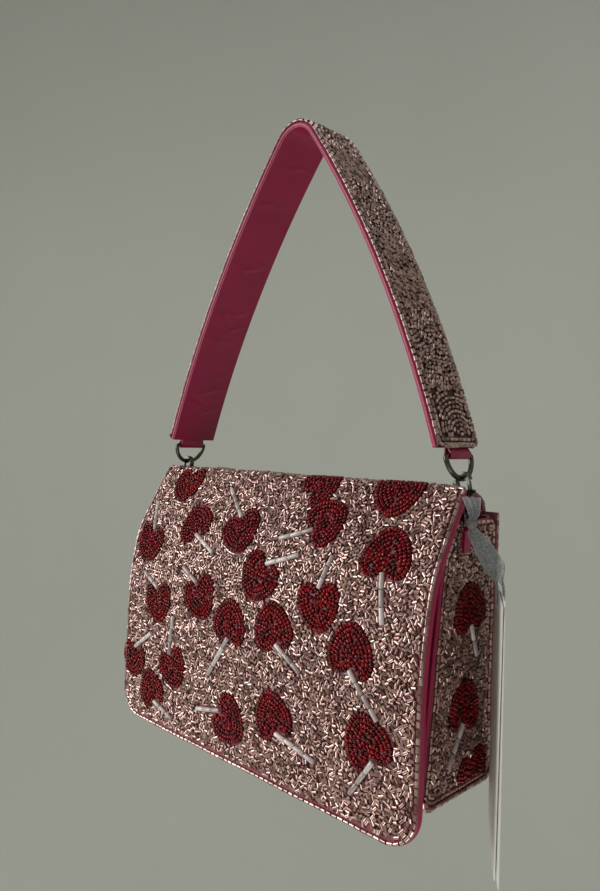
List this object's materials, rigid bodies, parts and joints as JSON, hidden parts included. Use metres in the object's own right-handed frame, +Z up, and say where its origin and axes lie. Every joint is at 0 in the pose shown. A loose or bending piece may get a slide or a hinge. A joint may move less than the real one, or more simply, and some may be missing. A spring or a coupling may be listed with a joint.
{
  "type": "beaded shoulder bag",
  "caption": "Small structured evening bag covered in glass beads, with a curved front flap on a magnetic snap and a short flat strap clipped on at both sides.",
  "frame": {"origin": "the seat on the strap's underside that lies on a hook, at the strap's middle plane", "axes": "+Z up, the bag hangs down from the origin; +X to the right seen from the bag's front; +Y to the bag's back"},
  "size_m": [0.229, 0.0654, 0.3218],
  "materials": {
    "rose_bead_cloth": "glass beads sewn on rose satin",
    "edge_bead_row": "row of silver lined glass beads",
    "magenta_satin": "satin weave",
    "grey_board": "stiff grey board",
    "dark_nickel": "dark nickel plated",
    "grey_organza": "thin organza ribbon",
    "ivory_card": "plain uncoated card"
  },
  "bodies": {
    "strap": {"strap_lining": "magenta_satin", "strap_core": "grey_board", "strap_beadwork": "rose_bead_cloth", "left_strap_tab": "magenta_satin", "right_strap_tab": "magenta_satin", "left_d_ring": "dark_nickel", "right_d_ring": "dark_nickel"},
    "bag": {"base_panel": "rose_bead_cloth", "back_panel": "rose_bead_cloth", "front_panel": "magenta_satin", "front_board": "grey_board", "front_lining": "magenta_satin", "left_gusset": "rose_bead_cloth", "right_gusset": "rose_bead_cloth", "left_gusset_lining": "magenta_satin", "right_gusset_lining": "magenta_satin", "left_piping": "magenta_satin", "right_piping": "magenta_satin", "back_board": "grey_board", "back_lining": "magenta_satin", "base_board": "grey_board", "base_lining": "magenta_satin", "flap_top_beadwork": "rose_bead_cloth", "flap_top_lining": "magenta_satin", "snap_socket": "dark_nickel", "snap_socket_washer": "dark_nickel", "left_swivel_eye": "dark_nickel", "right_swivel_eye": "dark_nickel", "left_side_ring": "dark_nickel", "right_side_ring": "dark_nickel", "left_side_tab": "magenta_satin", "right_side_tab": "magenta_satin", "ribbon_knot": "grey_organza"},
    "left_clasp": {"left_clasp_hook": "dark_nickel", "left_lever_pin": "dark_nickel"},
    "left_trigger": {"left_lever": "dark_nickel"},
    "right_clasp": {"right_clasp_hook": "dark_nickel", "right_lever_pin": "dark_nickel"},
    "right_trigger": {"right_lever": "dark_nickel"},
    "flap": {"flap_beadwork": "rose_bead_cloth", "flap_board": "grey_board", "flap_lining": "magenta_satin", "flap_edge_beads": "edge_bead_row", "snap_stud": "dark_nickel", "snap_stud_washer": "dark_nickel"},
    "tags": {"ribbon": "grey_organza"},
    "near_card": {"front_card": "ivory_card"},
    "far_card": {"back_card": "ivory_card"}
  },
  "joints": [
    {"name": "bag_swing", "type": "hinge", "parent": "strap", "child": "bag", "pos_m": [-0.005, 0, -0.15748], "axis": [1, 0, 0], "range_deg": [-30, 30]},
    {"name": "flap_open", "type": "hinge", "parent": "bag", "child": "flap", "pos_m": [-0.005, -0.01127, -0.17369], "axis": [-1, 0, 0], "range_deg": [0, 120]},
    {"name": "left_clasp_swivel", "type": "hinge", "parent": "bag", "child": "left_clasp", "pos_m": [-0.09978, 0, -0.16676], "axis": [0.2268, 0, 0.9739], "range_deg": [-15, 15]},
    {"name": "right_clasp_swivel", "type": "hinge", "parent": "bag", "child": "right_clasp", "pos_m": [0.08968, 0, -0.16688], "axis": [-0.2319, 0, 0.9727], "range_deg": [-15, 15]},
    {"name": "left_lever_press", "type": "hinge", "parent": "left_clasp", "child": "left_trigger", "pos_m": [-0.10406, 0, -0.17213], "axis": [0, 1, 0], "range_deg": [0, 25], "stiffness_Nm_per_rad": 0.01},
    {"name": "right_lever_press", "type": "hinge", "parent": "right_clasp", "child": "right_trigger", "pos_m": [0.09398, 0, -0.17223], "axis": [0, -1, 0], "range_deg": [0, 25], "stiffness_Nm_per_rad": 0.01},
    {"name": "tag_swing", "type": "hinge", "parent": "bag", "child": "tags", "pos_m": [0.09717, -0.0042, -0.18452], "axis": [0.8387, 0.5446, 0], "range_deg": [-20, 0]},
    {"name": "front_card_swing", "type": "hinge", "parent": "tags", "child": "near_card", "pos_m": [0.10724, 0.00234, -0.21772], "axis": [0.8387, 0.5446, 0], "range_deg": [-8, 2]},
    {"name": "back_card_swing", "type": "hinge", "parent": "tags", "child": "far_card", "pos_m": [0.10724, 0.00234, -0.21772], "axis": [0.8387, 0.5446, 0], "range_deg": [-8, 0]}
  ]
}
